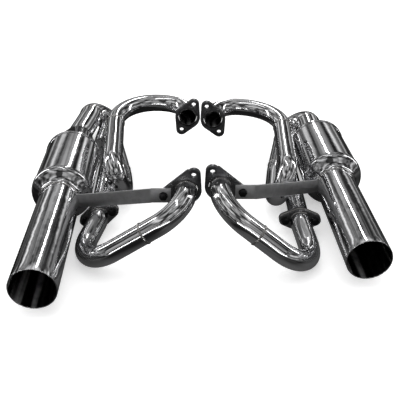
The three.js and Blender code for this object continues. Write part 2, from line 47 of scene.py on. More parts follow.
GAP = 0.3
PRIMARY_R = 19.05
PRIMARY_WALL = 1.6
COLLECTOR_R = 27
COLLECTOR_WALL = 1.6
SKIN = 0.3                          # tubes are drawn this much inside the nominal radius
HOOK_R = 41
ARCH_OVERRUN = 2
RETURN_BEND_R = 150
RETURN_LENGTH = 100
SWEEP_SEAM = 25
COLLECTOR_START = 262
COLLECTOR_LEAD = 30
COLLECTOR_LEAD_R = 38
COLLECTOR_MERGE = 26
INLET_LEAD = 16
INLET_LEAD_R = 120
BOSS_R = 8
BOSS_TOP = 72

FLANGE_THICK = 8
FLANGE_BORE_R = 20.1
FLANGE_CENTRE_R = 27
FLANGE_LOBE_R = 11.8
STUD_OFFSET = 32
STUD_TILT = math.radians(65)
STUD_HOLE_R = 4.5
SEAT_R = 24.3
SEAT_HEIGHT = 1.2
TUBE_SET_BACK = 2

JOINT_LEAD = 20
JOINT_LEAD_R = 50
JOINT_THICK = 5
JOINT_CENTRE_R = 23
JOINT_LOBE_R = 11.5
JOINT_BOLT_OFFSET = 27.5
JOINT_GASKET = 1.5
BOLT_R = 3.9
BOLT_HOLE_R = 4.3
BOLT_HEAD_R = 7.5
BOLT_HEAD_THICK = 5.3
NUT_THICK = 6.5
BOLT_TAIL = 4
WASHER_R = 7.3
WASHER_THICK = 1.0
JOINT_SET_BACK = JOINT_GASKET / 2 + GAP + 2

TIP_R = 38.1
TIP_WALL = 1.5
SHELL_R = 56.3
SHELL_LENGTH = 170
RIM_R = 57.9
RIM_LENGTH = 6
CAP_THICK = 1.5
CAP_DISH = 3
NECK_LENGTH = 25
AXIS_HEIGHT = RIM_R + 0.2
CORE_R = 26.8
CONE_WALL = 1.6
CONE_BASE_R = 54

STRAP_HEIGHT = 28
STRAP_THICK = 3
STRAP_EAR = 13
STRAP_BEND = 22
BRACKET_THICK = 5
BRACKET_BOLT = (39, -8.5)
BRACKET_OUTLINE = ((-5.5, 42), (48, -4), (51, -11), (48, -20), (38, -24), (24, -18), (10, -5), (-5, 25))

# Each bank's own places: distance outboard of the middle plane, Y and height.
BANKS = {
    "left": {
        "side": -1,
        "frontPort": (27, 217, 124),
        "archRise": 73,
        "archCorner": (188.6, 296, 134),
        "archRadii": (58, 92),
        "legEnd": (169, 32, 103),
        "returnStart": (145, 2, 19.4),
        "returnMid": (160, 100, 42),
        "returnEnd": (190, 215, 58),
        "rearPort": (24, -96, 123),
        "stub": 72,
        "sweepCorner": (205, -185, 14),
        "hookCorner": (203, -106, 21),
        "jointCentre": (191, -34, 30),
        "jointRoll": 20,
        "sweepRadii": (60, 60, 50),
        "riserEnd": (206, 215, 20),
        "mouth": (252.5, -291),
        "mouthToRim": 289,
        "coneLength": 94,
        "inlet": (272, 150),
        "returnBend": {"inlet": 270, "collector": 223, "y": 388, "height": 28.7, "boss": (229, 364)},
        "strapEnd": (226.5, -33, 61.5),
    },
    "right": {
        "side": 1,
        "frontPort": (28, 205, 124),
        "archRise": 72,
        "archCorner": (181, 290, 120),
        "archRadii": (59, 92),
        "legEnd": (167, -2, 106),
        "returnStart": (142, -2, 19.4),
        "returnMid": (157, 100, 52),
        "returnEnd": (182.5, 215, 71),
        "rearPort": (35, -89, 126),
        "stub": 74,
        "sweepCorner": (191, -205, 14),
        "hookCorner": (193, -120, 21),
        "jointCentre": (187, -48, 30),
        "jointRoll": 0,
        "sweepRadii": (66, 58, 50),
        "riserEnd": (193.5, 215, 20),
        "mouth": (273, -217),
        "mouthToRim": 273,
        "coneLength": 34,
        "inlet": (261, 219),
        "returnBend": {"inlet": 260, "collector": 213, "y": 335, "height": 28.7, "boss": (215, 312)},
        "strapEnd": (226.5, 25, 60.6),
    },
}

# The layout frame's offset from the part's frame, read off the left front port flange.
flange_low, flange_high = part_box("left_front_port_flange")
port_out, port_y, port_z = BANKS["left"]["frontPort"]
SHIFT = Vector((
    500 * (flange_low.x + flange_high.x) + port_out,
    1000 * flange_low.y - (port_y - SEAT_HEIGHT),
    500 * (flange_low.z + flange_high.z) - port_z,
))

TUBE_SIDES = 56
LATHE_SIDES = 160
BEND_STEP = math.radians(3)
STRAIGHT_STEP = 12


# ---- Mesh helpers ----------------------------------------------------------------------------

def make_piece(name, mesh, body, slot, material, nodes=(), sharp=32):
    """Put a mesh made in the layout frame into the scene as one piece."""
    mesh.transform(Matrix.Scale(0.001, 4) @ Matrix.Translation(SHIFT))
    work = bmesh.new()
    work.from_mesh(mesh)
    bmesh.ops.remove_doubles(work, verts=work.verts, dist=2e-6)
    bmesh.ops.recalc_face_normals(work, faces=work.faces)
    limit = math.radians(sharp)
    for face in work.faces:
        face.smooth = True
    for edge in work.edges:
        edge.smooth = len(edge.link_faces) == 2 and edge.calc_face_angle(0) < limit
    work.to_mesh(mesh)
    work.free()
    mesh.materials.clear()
    mesh.materials.append(material)
    piece = bpy.data.objects.new(name, mesh)
    bpy.context.scene.collection.objects.link(piece)
    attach(piece, body)
    if nodes:
        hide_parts(*nodes)
    return piece


def grid_mesh(name, rings, closed_rows=False, uv_scale=(1, 1), caps=False):
    """A mesh over a list of closed rings of points, with UVs in metres round and along it."""
    work = bmesh.new()
    uv_layer = work.loops.layers.uv.new("UVMap")
    rows = [[work.verts.new(point) for point in ring] for ring in rings]
    sides = len(rings[0])
    count = len(rows) if closed_rows else len(rows) - 1
    for i in range(count):
        low, high = rows[i], rows[(i + 1) % len(rows)]
        for j in range(sides):
            k = (j + 1) % sides
            face = work.faces.new((low[j], low[k], high[k], high[j]))
            corners = ((j, i), (j + 1, i), (j + 1, i + 1), (j, i + 1))
            for loop, (u, v) in zip(face.loops, corners):
                loop[uv_layer].uv = (u / sides * uv_scale[0], v / max(count, 1) * uv_scale[1])
    if caps:
        work.faces.new(rows[0][::-1])
        work.faces.new(rows[-1])
    mesh = bpy.data.meshes.new(name)
    work.to_mesh(mesh)
    work.free()
    return mesh


def join_meshes(name, meshes):
    work = bmesh.new()
    for mesh in meshes:
        work.from_mesh(mesh)
    joined = bpy.data.meshes.new(name)
    work.to_mesh(joined)
    work.free()
    return joined


def boolean(base, tool, operation):
    """A new mesh: base united with, or cut by, tool."""
    objects = [bpy.data.objects.new("work", mesh) for mesh in (base, tool)]
    for item in objects:
        bpy.context.scene.collection.objects.link(item)
    modifier = objects[0].modifiers.new("cut", "BOOLEAN")
    modifier.operation = operation
    modifier.solver = "EXACT"
    modifier.object = objects[1]
    graph = bpy.context.evaluated_depsgraph_get()
    result = bpy.data.meshes.new_from_object(objects[0].evaluated_get(graph))
    for item in objects:
        bpy.data.objects.remove(item)
    return result


def circle_points(radius, sides, x=0.0, y=0.0):
    turn = 2 * math.pi / sides
    return [(x + radius * math.cos(turn * i), y + radius * math.sin(turn * i)) for i in range(sides)]


def arc_points(centre, radius, start, end, count):
    """Points on an arc, with angles in degrees."""
    angles = [math.radians(start + (end - start) * i / count) for i in range(count + 1)]
    return [(centre[0] + radius * math.cos(a), centre[1] + radius * math.sin(a)) for a in angles]


def plate_mesh(name, outline, holes, thickness, bevel=0.6):
    """A plate drawn in X and Z with rounded edges, from y = 0 to y = thickness."""
    curve = bpy.data.curves.new(name, "CURVE")
    curve.dimensions = "2D"
    curve.fill_mode = "BOTH"
    curve.extrude = thickness / 2 - bevel
    curve.bevel_depth = bevel
    curve.bevel_resolution = 2
    curve.offset = -bevel
    for points in [outline, *holes]:
        spline = curve.splines.new("POLY")
        spline.points.add(len(points) - 1)
        for target, (x, z) in zip(spline.points, points):
            target.co = (x, z, 0, 1)
        spline.use_cyclic_u = True
    item = bpy.data.objects.new(name, curve)
    bpy.context.scene.collection.objects.link(item)
    graph = bpy.context.evaluated_depsgraph_get()
    mesh = bpy.data.meshes.new_from_object(item.evaluated_get(graph))
    bpy.data.objects.remove(item)
    stand_up = Matrix(((1, 0, 0, 0), (0, 0, 1, thickness / 2), (0, 1, 0, 0), (0, 0, 0, 1)))
    mesh.transform(stand_up)
    return mesh


def lathe_mesh(name, profile, sides=LATHE_SIDES):
    """A closed profile of (radius, y) turned about the Y axis."""
    rings = []
    for radius, y in profile:
        rings.append([Vector((x, y, z)) for x, z in circle_points(radius, sides)])
    length = sum(math.dist(a, b) for a, b in zip(profile, profile[1:])) / 1000
    return grid_mesh(name, rings, closed_rows=True, uv_scale=(2 * math.pi * 0.03, length))


def rounded_outline(points, radius, count=5):
    """A polygon with each corner rounded."""
    result = []
    total = len(points)
    for i, corner in enumerate(points):
        here = Vector(corner)
        back = (Vector(points[i - 1]) - here)
        ahead = (Vector(points[(i + 1) % total]) - here)
        reach = min(radius, 0.4 * back.length, 0.4 * ahead.length)
        start = here + back.normalized() * reach
        end = here + ahead.normalized() * reach
        for k in range(count + 1):
            t = k / count
            result.append(tuple((1 - t) ** 2 * start + 2 * t * (1 - t) * here + t * t * end))
    return result


# ---- Tube runs -------------------------------------------------------------------------------

class BentLine:
    """Straight runs and true arcs through a list of corners."""

    def __init__(self, corners, radii):
        self.pieces = []
        start = corners[0]
        for i in range(1, len(corners) - 1):
            back = (corners[i - 1] - corners[i]).normalized()
            ahead = (corners[i + 1] - corners[i]).normalized()
            turn = math.pi - back.angle(ahead)
            radius = radii[i - 1]
            set_back = radius * math.tan(turn / 2)
            origin = corners[i] + back * set_back
            centre = corners[i] + (back + ahead).normalized() * (radius / math.cos(turn / 2))
            self.add_straight(start, origin)
            self.pieces.append({
                "centre": centre,
                "across": origin - centre,
                "along": -back * radius,
                "turn": turn,
                "length": turn * radius,
            })
            start = corners[i] + ahead * set_back
        self.add_straight(start, corners[-1])
        self.length = sum(piece["length"] for piece in self.pieces)

    def add_straight(self, start, end):
        run = end - start
        self.pieces.append({"from": start, "step": run.normalized(), "turn": 0, "length": run.length})

    def at(self, distance):
        left = distance
        for piece in self.pieces:
            if left <= piece["length"] or piece is self.pieces[-1]:
                break
            left -= piece["length"]
        if piece["turn"] == 0:
            return piece["from"] + piece["step"] * left, piece["step"].copy()
        angle = piece["turn"] * left / piece["length"]
        point = piece["centre"] + piece["across"] * math.cos(angle) + piece["along"] * math.sin(angle)
        way = piece["along"] * math.cos(angle) - piece["across"] * math.sin(angle)
        return point, way.normalized()

    def stations(self, start, end):
        """Distances along the line: every step of a bend, and every so often on a straight."""
        result = [start]
        reached = 0
        for piece in self.pieces:
            step = piece["turn"] / BEND_STEP if piece["turn"] else piece["length"] / STRAIGHT_STEP
            parts = max(1, math.ceil(step))
            for i in range(parts + 1):
                distance = reached + piece["length"] * i / parts
                if result[-1] + 0.5 < distance < end - 0.5:
                    result.append(distance)
            reached += piece["length"]
        result.append(end)
        return result

    def frames(self, distances):
        """Point, way, and two directions across the line that don't twist along it."""
        result = []
        previous = None
        for distance in distances:
            point, way = self.at(distance)
            if previous is None:
                seed = Vector((0, 0, 1)) if abs(way.z) < 0.9 else Vector((0, 1, 0))
                across = (seed - way * seed.dot(way)).normalized()
            else:
                across = (previous - way * previous.dot(way)).normalized()
            previous = across
            result.append((point, way, across, way.cross(across)))
        return result


def ring_of(station, radius, sides=TUBE_SIDES):
    point, _, across, up = station
    return [point + across * x + up * y for x, y in circle_points(radius, sides)]


def tube_mesh(name, line, start, end, outer, wall, sides=TUBE_SIDES):
    """A closed tube wall with softened lips at both ends."""
    outer -= SKIN
    inner = outer - wall
    stations = line.stations(start, end)
    frames = line.frames(stations)
    rings = [ring_of(frames[0], outer - 0.4, sides)]
    rings += [[p + frames[0][1] * 0.4 for p in ring_of(frames[0], outer, sides)]]
    rings += [ring_of(station, outer, sides) for station in frames[1:-1]]
    rings += [[p - frames[-1][1] * 0.4 for p in ring_of(frames[-1], outer, sides)]]
    rings += [ring_of(frames[-1], outer - 0.4, sides)]
    rings += [ring_of(station, inner, sides) for station in reversed(frames)]
    length = 2 * (end - start) / 1000
    return grid_mesh(name, rings, closed_rows=True, uv_scale=(2 * math.pi * outer / 1000, length))


def rod_mesh(name, line, start, end, radius, sides=TUBE_SIDES):
    frames = line.frames(line.stations(start, end))
    rings = [ring_of(station, radius, sides) for station in frames]
    length = (end - start) / 1000
    return grid_mesh(name, rings, uv_scale=(2 * math.pi * radius / 1000, length), caps=True)


def bead_mesh(name, station, radius, width=3.2, height=1.3, pitch=2.6, sides=240):
    """A ring of overlapping weld ripples round a tube."""
    ripples = max(12, round(2 * math.pi * radius / pitch))
    point, way, across, up = station
    rows = []
    profile = 10
    for i in range(sides):
        angle = 2 * math.pi * i / sides
        out = across * math.cos(angle) + up * math.sin(angle)
        row = []
        for j in range(profile):
            spread = -1 + 2 * j / (profile - 1)
            crown = math.sqrt(max(0, 1 - spread * spread))
            phase = (angle / (2 * math.pi) * ripples + 0.45 * spread * spread) % 1
            ripple = 0.6 + 0.4 * math.sin(math.pi * phase)
            rise = height * crown * ripple
            reach = width / 2 * spread * (0.94 + 0.06 * ripple)
            row.append(point + out * (radius - 0.35 + rise) + way * reach)
        row.append(point + out * (radius - 0.9) + way * (width / 2))
        row.append(point + out * (radius - 0.9) - way * (width / 2))
        rows.append(row)
    return grid_mesh(name, rows, closed_rows=True, uv_scale=(width / 1000, 2 * math.pi * radius / 1000))


def axis_station(matrix, y):
    """A station on the Y axis of a placed sub-assembly."""
    turn = matrix.to_3x3()
    way, across, up = turn @ Vector((0, 1, 0)), turn @ Vector((0, 0, 1)), turn @ Vector((1, 0, 0))
    return matrix @ Vector((0, y, 0)), way, across, up


# ---- Materials -------------------------------------------------------------------------------

def new_material(name):
    material = bpy.data.materials.new(name)
    material.use_nodes = True
    tree = material.node_tree
    shader = tree.nodes["Principled BSDF"]
    return material, tree, shader


def node(tree, kind, **settings):
    made = tree.nodes.new(kind)
    for key, value in settings.items():
        if key in made.inputs:
            made.inputs[key].default_value = value
        else:
            setattr(made, key, value)
    return made


def noise(tree, source, scale, detail=3.0, rough=0.5, stretch=(1, 1, 1)):
    """A noise texture over object or UV space, stretched along chosen axes."""
    mapping = node(tree, "ShaderNodeMapping", Scale=stretch)
    tree.links.new(source, mapping.inputs["Vector"])
    made = node(tree, "ShaderNodeTexNoise", Scale=scale, Detail=detail, Roughness=rough)
    tree.links.new(mapping.outputs["Vector"], made.inputs["Vector"])
    return made.outputs["Fac"]


def ranged(tree, value, low, high, start=0.3, end=0.7):
    made = node(tree, "ShaderNodeMapRange")
    made.inputs["From Min"].default_value = start
    made.inputs["From Max"].default_value = end
    made.inputs["To Min"].default_value = low
    made.inputs["To Max"].default_value = high
    tree.links.new(value, made.inputs["Value"])
    return made.outputs["Result"]


def toned(tree, value, dark, light, start=0.3, end=0.7):
    made = node(tree, "ShaderNodeValToRGB")
    made.color_ramp.elements[0].position = start
    made.color_ramp.elements[0].color = (*dark, 1)
    made.color_ramp.elements[1].position = end
    made.color_ramp.elements[1].color = (*light, 1)
    tree.links.new(value, made.inputs["Fac"])
    return made.outputs["Color"]


def bumped(tree, shader, layers):
    """Stack bumps on the shader from (height, strength, distance in metres)."""
    previous = None
    for height, strength, distance in layers:
        made = node(tree, "ShaderNodeBump", Strength=strength, Distance=distance)
        tree.links.new(height, made.inputs["Height"])
        if previous is not None:
            tree.links.new(previous, made.inputs["Normal"])
        previous = made.outputs["Normal"]
    tree.links.new(previous, shader.inputs["Normal"])


def polished_tube(name, light, wave, grain):
    """Mirror-polished stainless: soft waviness from bending, fine polishing lines and smears."""
    material, tree, shader = new_material(name)
    place = node(tree, "ShaderNodeTexCoord")
    smear = noise(tree, place.outputs["Object"], 22, 4, 0.6)
    lines = noise(tree, place.outputs["UV"], 240, 3, 0.7, (1, 0.06, 1))
    waves = noise(tree, place.outputs["Object"], 30, 2, 0.4)
    dark = tuple(c * 0.86 for c in light)
    tree.links.new(toned(tree, smear, dark, light), shader.inputs["Base Color"])
    tree.links.new(ranged(tree, smear, 0.045, 0.13), shader.inputs["Roughness"])
    shader.inputs["Metallic"].default_value = 1
    bumped(tree, shader, [(waves, wave, 0.002), (lines, grain, 0.0001)])
    return material


def plated(name, dark, light, rough, grain):
    """Dark plated or satin steel with mottling, fine pits and worn patches."""
    material, tree, shader = new_material(name)
    place = node(tree, "ShaderNodeTexCoord")
    mottle = noise(tree, place.outputs["Object"], 60, 5, 0.6)
    pits = noise(tree, place.outputs["Object"], 900, 3, 0.6)
    tree.links.new(toned(tree, mottle, dark, light), shader.inputs["Base Color"])
    tree.links.new(ranged(tree, mottle, rough + 0.1, rough), shader.inputs["Roughness"])
    shader.inputs["Metallic"].default_value = 1
    bumped(tree, shader, [(mottle, 0.15, 0.0004), (pits, grain, 0.0001)])
    return material


def weld_metal():
    """Bright weld ripple, mottled between dark and light grey."""
    material, tree, shader = new_material("weld_metal")
    place = node(tree, "ShaderNodeTexCoord")
    tint = noise(tree, place.outputs["Object"], 130, 3, 0.6)
    tree.links.new(toned(tree, tint, (0.20, 0.19, 0.185), (0.78, 0.77, 0.75)), shader.inputs["Base Color"])
    tree.links.new(ranged(tree, tint, 0.32, 0.16), shader.inputs["Roughness"])
    shader.inputs["Metallic"].default_value = 1
    bumped(tree, shader, [(tint, 0.2, 0.0003)])
    return material


def fibre(name, dark, light, scale):
    """Matt fibrous stuff: gasket sheet or glass wool."""
    material, tree, shader = new_material(name)
    place = node(tree, "ShaderNodeTexCoord")
    strands = noise(tree, place.outputs["Object"], scale, 6, 0.8, (1, 3, 1))
    tree.links.new(toned(tree, strands, dark, light), shader.inputs["Base Color"])
    shader.inputs["Roughness"].default_value = 0.92
    bumped(tree, shader, [(strands, 0.6, 0.0006)])
    return material


def painted_shade_bore():
    """The inside of the hot tubes: dark steel, its darkness painted shade inside the bore, mottled, with
    lengthwise rubbed streaks.
    """
    material, tree, shader = new_material("painted_shade_bore")
    place = node(tree, "ShaderNodeTexCoord")
    shade_mottle = noise(tree, place.outputs["Object"], 45, 4, 0.6)
    # Painted shade: the inward faces are coloured dark grey to stand for the shade inside the bore.
    tree.links.new(toned(tree, shade_mottle, (0.10, 0.10, 0.10), (0.26, 0.26, 0.26)), shader.inputs["Base Color"])
    tree.links.new(ranged(tree, shade_mottle, 0.12, 0.25), shader.inputs["Roughness"])
    streaks = noise(tree, place.outputs["UV"], 60, 2, 0.5, (1, 0.02, 1))
    tree.links.new(ranged(tree, streaks, 1.0, 0.15, 0.5, 0.62), shader.inputs["Metallic"])
    return material


TUBE_FINISH = polished_tube("polished_stainless", (0.80, 0.80, 0.81), 0.30, 0.25)
SHELL_FINISH = polished_tube("shell_stainless", (0.76, 0.76, 0.77), 0.10, 0.45)
# Front cap: the polished stainless with its base colour darkened, painted shade on the sloping cap.
CAP_FINISH = polished_tube("painted_shade_spun_cap", (0.62, 0.62, 0.63), 0.75, 0.3)
FLANGE_FINISH = plated("plated_flange", (0.10, 0.10, 0.105), (0.24, 0.24, 0.245), 0.24, 0.3)
STRAP_FINISH = plated("plated_strap", (0.46, 0.46, 0.465), (0.60, 0.60, 0.605), 0.38, 0.2)
BLACK_FINISH = plated("black_fastener", (0.018, 0.018, 0.019), (0.05, 0.05, 0.052), 0.32, 0.3)
WELD_FINISH = weld_metal()
GASKET_FINISH = fibre("fibre_gasket", (0.20, 0.19, 0.18), (0.42, 0.41, 0.39), 300)
PACKING_FINISH = fibre("glass_packing", (0.62, 0.56, 0.40), (0.88, 0.84, 0.70), 220)
CORE_FINISH = plated("core_steel", (0.16, 0.155, 0.15), (0.36, 0.35, 0.34), 0.36, 0.3)
# Dark bore finish: painted shade inside the tubes and the tip.
BORE_FINISH = painted_shade_bore()


def line_bore(piece, centreline_test):
    """Give the faces that look inward the dark finish that paints the shade inside the bore."""
    piece.data.materials.append(BORE_FINISH)
    for face in piece.data.polygons:
        if centreline_test(face):
            face.material_index = 1


# ---- Fasteners -------------------------------------------------------------------------------

def hex_rings(apothem, low, high, chamfer_low=False, chamfer_high=True, bore=0.0):
    """Rings up a hexagon with turned chamfers, along Y."""
    sides = 72
    rings = []

    def ring(y_of, radius_of):
        points = []
        for i in range(sides):
            angle = 2 * math.pi * i / sides
            local = (angle + math.pi / 6) % (math.pi / 3) - math.pi / 6
            corner = apothem / math.cos(local)
            radius = radius_of(corner)
            points.append(Vector((radius * math.sin(angle), y_of(corner), radius * math.cos(angle))))
        return points

    slope = 0.55
    if bore:
        rings.append(ring(lambda c: low, lambda c: bore))
    rings.append(ring(lambda c: low, lambda c: apothem * 0.97 if chamfer_low else c))
    if chamfer_low:
        rings.append(ring(lambda c: low + (c - apothem * 0.97) * slope, lambda c: c))
    if chamfer_high:
        rings.append(ring(lambda c: high - (c - apothem * 0.97) * slope, lambda c: c))
    rings.append(ring(lambda c: high, lambda c: apothem * 0.97 if chamfer_high else c))
    if bore:
        rings.append(ring(lambda c: high, lambda c: bore))
    return rings


def turned_rings(profile, sides=40):
    return [[Vector((x, y, z)) for x, z in circle_points(radius, sides)] for radius, y in profile]


def hex_bolt_mesh(name, grip):
    """A flanged hex bolt with its washer: head behind y = 0, threaded shank toward +Y."""
    apothem = BOLT_HEAD_R * math.cos(math.pi / 6)
    parts = [grid_mesh(name, hex_rings(apothem, -BOLT_HEAD_THICK, -WASHER_THICK, True, False), caps=True)]
    washer = [(BOLT_R, -WASHER_THICK), (WASHER_R - 0.3, -WASHER_THICK), (WASHER_R, -WASHER_THICK + 0.3),
              (WASHER_R, -0.2), (WASHER_R - 0.2, 0), (BOLT_R, 0)]
    parts.append(grid_mesh(name, turned_rings(washer, 48), closed_rows=True))
    end = grip + NUT_THICK + BOLT_TAIL
    profile = [(BOLT_R, -WASHER_THICK)]
    y = 0.5
    while y < end - 1.2:
        profile += [(BOLT_R, y), (BOLT_R - 0.45, y + 0.62)]
        y += 1.25
    profile += [(BOLT_R - 0.1, end - 0.9), (BOLT_R - 0.9, end)]
    parts.append(grid_mesh(name, turned_rings(profile, 32), caps=True))
    return join_meshes(name, parts)


def hex_nut_mesh(name):
    apothem = BOLT_HEAD_R * math.cos(math.pi / 6)
    rings = hex_rings(apothem, 0, NUT_THICK, True, True, BOLT_R + 0.05)
    return grid_mesh(name, rings, closed_rows=True)


# ---- Flanges ---------------------------------------------------------------------------------

def oval_outline(centre_r, lobe_r, offset, angle, fine=14):
    lean = math.degrees(math.acos((centre_r - lobe_r) / offset))
    points = arc_points((offset, 0), lobe_r, -lean, lean, fine)
    points += arc_points((0, 0), centre_r, lean, 180 - lean, fine)[1:-1]
    points += arc_points((-offset, 0), lobe_r, 180 - lean, 180 + lean, fine)
    points += arc_points((0, 0), centre_r, 180 + lean, 360 - lean, fine)[1:-1]
    cosine, sine = math.cos(angle), math.sin(angle)
    return [(x * cosine - z * sine, x * sine + z * cosine) for x, z in points]


def oval_plate(name, centre_r, lobe_r, offset, angle, bore_r, hole_r, thickness, bevel=0.7):
    holes = [circle_points(bore_r, 64)]
    for end in (-offset, offset):
        holes.append(circle_points(hole_r, 28, end * math.cos(angle), end * math.sin(angle)))
    outline = oval_outline(centre_r, lobe_r, offset, angle)
    return plate_mesh(name, outline, holes, thickness, bevel)


def port_flange_mesh(name, angle, facing):
    body = oval_plate(name, FLANGE_CENTRE_R, FLANGE_LOBE_R, STUD_OFFSET, angle, FLANGE_BORE_R,
                      STUD_HOLE_R, FLANGE_THICK)
    body.transform(Matrix.Translation((0, 0 if facing < 0 else -FLANGE_THICK, 0)))
    low, high = (-SEAT_HEIGHT, 0.4) if facing < 0 else (-0.4, SEAT_HEIGHT)
    seat = [(FLANGE_BORE_R + 0.05, low), (SEAT_R - 0.3, low), (SEAT_R, low + 0.3),
            (SEAT_R, high - 0.3), (SEAT_R - 0.3, high), (FLANGE_BORE_R + 0.05, high)]
    return join_meshes(name, [body, grid_mesh(name, turned_rings(seat, 72), closed_rows=True)])


# ---- Muffler ---------------------------------------------------------------------------------

def tip_profile(mouth_to_rim):
    """The tail tip's wall: a straight tube with a rounded lip at the mouth."""
    inner = TIP_R - TIP_WALL
    root = -NECK_LENGTH - GAP
    middle = TIP_R - TIP_WALL / 2
    lip = [(middle + TIP_WALL / 2 * math.cos(a), -mouth_to_rim + TIP_WALL / 2 * (1 - math.sin(a)))
           for a in (math.radians(180 - 22.5 * i) for i in range(9))]
    steps = 14
    span = root + mouth_to_rim
    outside = [(TIP_R, -mouth_to_rim + span * i / steps) for i in range(1, steps + 1)]
    inside = [(inner, root - span * i / steps) for i in range(0, steps)]
    return lip + outside + inside


def bell_points(neck, rim, count=22):
    """An S-shaped flare from the neck out to the rim, running along the axis at both ends."""
    lead = (rim[1] - neck[1]) * 0.52
    result = []
    for i in range(count + 1):
        t = i / count
        weights = ((1 - t) ** 3, 3 * t * (1 - t) ** 2, 3 * t * t * (1 - t), t ** 3)
        radius = neck[0] * (weights[0] + weights[1]) + rim[0] * (weights[2] + weights[3])
        along = (neck[1] * (weights[0] + weights[1]) + rim[1] * (weights[2] + weights[3])
                 + lead * (weights[1] - weights[2]))
        result.append((radius, along))
    return result


def front_cap_profile():
    """Bore plate, bell-shaped flare and the rolled edge over the shell."""
    bore = CORE_R + GAP
    edge = RIM_LENGTH + CAP_DISH
    bell = bell_points((TIP_R + 0.2, 0.2 - NECK_LENGTH), (RIM_R, CAP_DISH + 3.6))
    inner_bell = bell_points((TIP_R - 1.2, 1.8 - NECK_LENGTH), (RIM_R - 1.5, CAP_DISH + 4.6))
    roll = [(RIM_R, edge - 0.6), (RIM_R - 0.5, edge), (SHELL_R + 0.15, edge)]
    return ([(bore, -NECK_LENGTH)] + bell + roll + inner_bell[::-1] + [(bore, 1.8 - NECK_LENGTH)])


def rear_cap_profile():
    """Flat dished end with a round shoulder and rolled edge, drawn as a front cap."""
    bore = CORE_R + GAP
    edge = RIM_LENGTH + CAP_DISH
    shoulder = arc_points((RIM_R - 4.5, CAP_DISH + 1.5), 4.5, -90, 0, 10)
    inner_shoulder = arc_points((RIM_R - 4.5, CAP_DISH + 1.5), 3.1, 0, -90, 8)
    return ([(bore, 0), (CONE_BASE_R - 1, 0)] + shoulder
            + [(RIM_R, edge - 0.6), (RIM_R - 0.5, edge)]
            + [(SHELL_R + 0.15, edge), (SHELL_R + 0.15, CAP_DISH + 2.5)]
            + inner_shoulder[1:] + [(CONE_BASE_R - 1, CAP_THICK), (bore, CAP_THICK)])


def shell_profile():
    start = CAP_DISH + CAP_THICK + GAP
    end = SHELL_LENGTH - start
    steps = 8
    outside = [(SHELL_R, start + (end - start) * i / steps) for i in range(steps + 1)]
    return outside + [(SHELL_R - 1.4, end), (SHELL_R - 1.4, start)]


def cone_profile(length):
    start = SHELL_LENGTH + GAP
    end = SHELL_LENGTH + length
    flare = [(CONE_BASE_R, start), (CONE_BASE_R - 1.2, start + 2.5), (COLLECTOR_R + 4.2, end - 9),
             (COLLECTOR_R + 1.4, end - 5), (COLLECTOR_R, end)]
    return flare + [(radius - CONE_WALL, y) for radius, y in reversed(flare)]


# ---- One bank --------------------------------------------------------------------------------

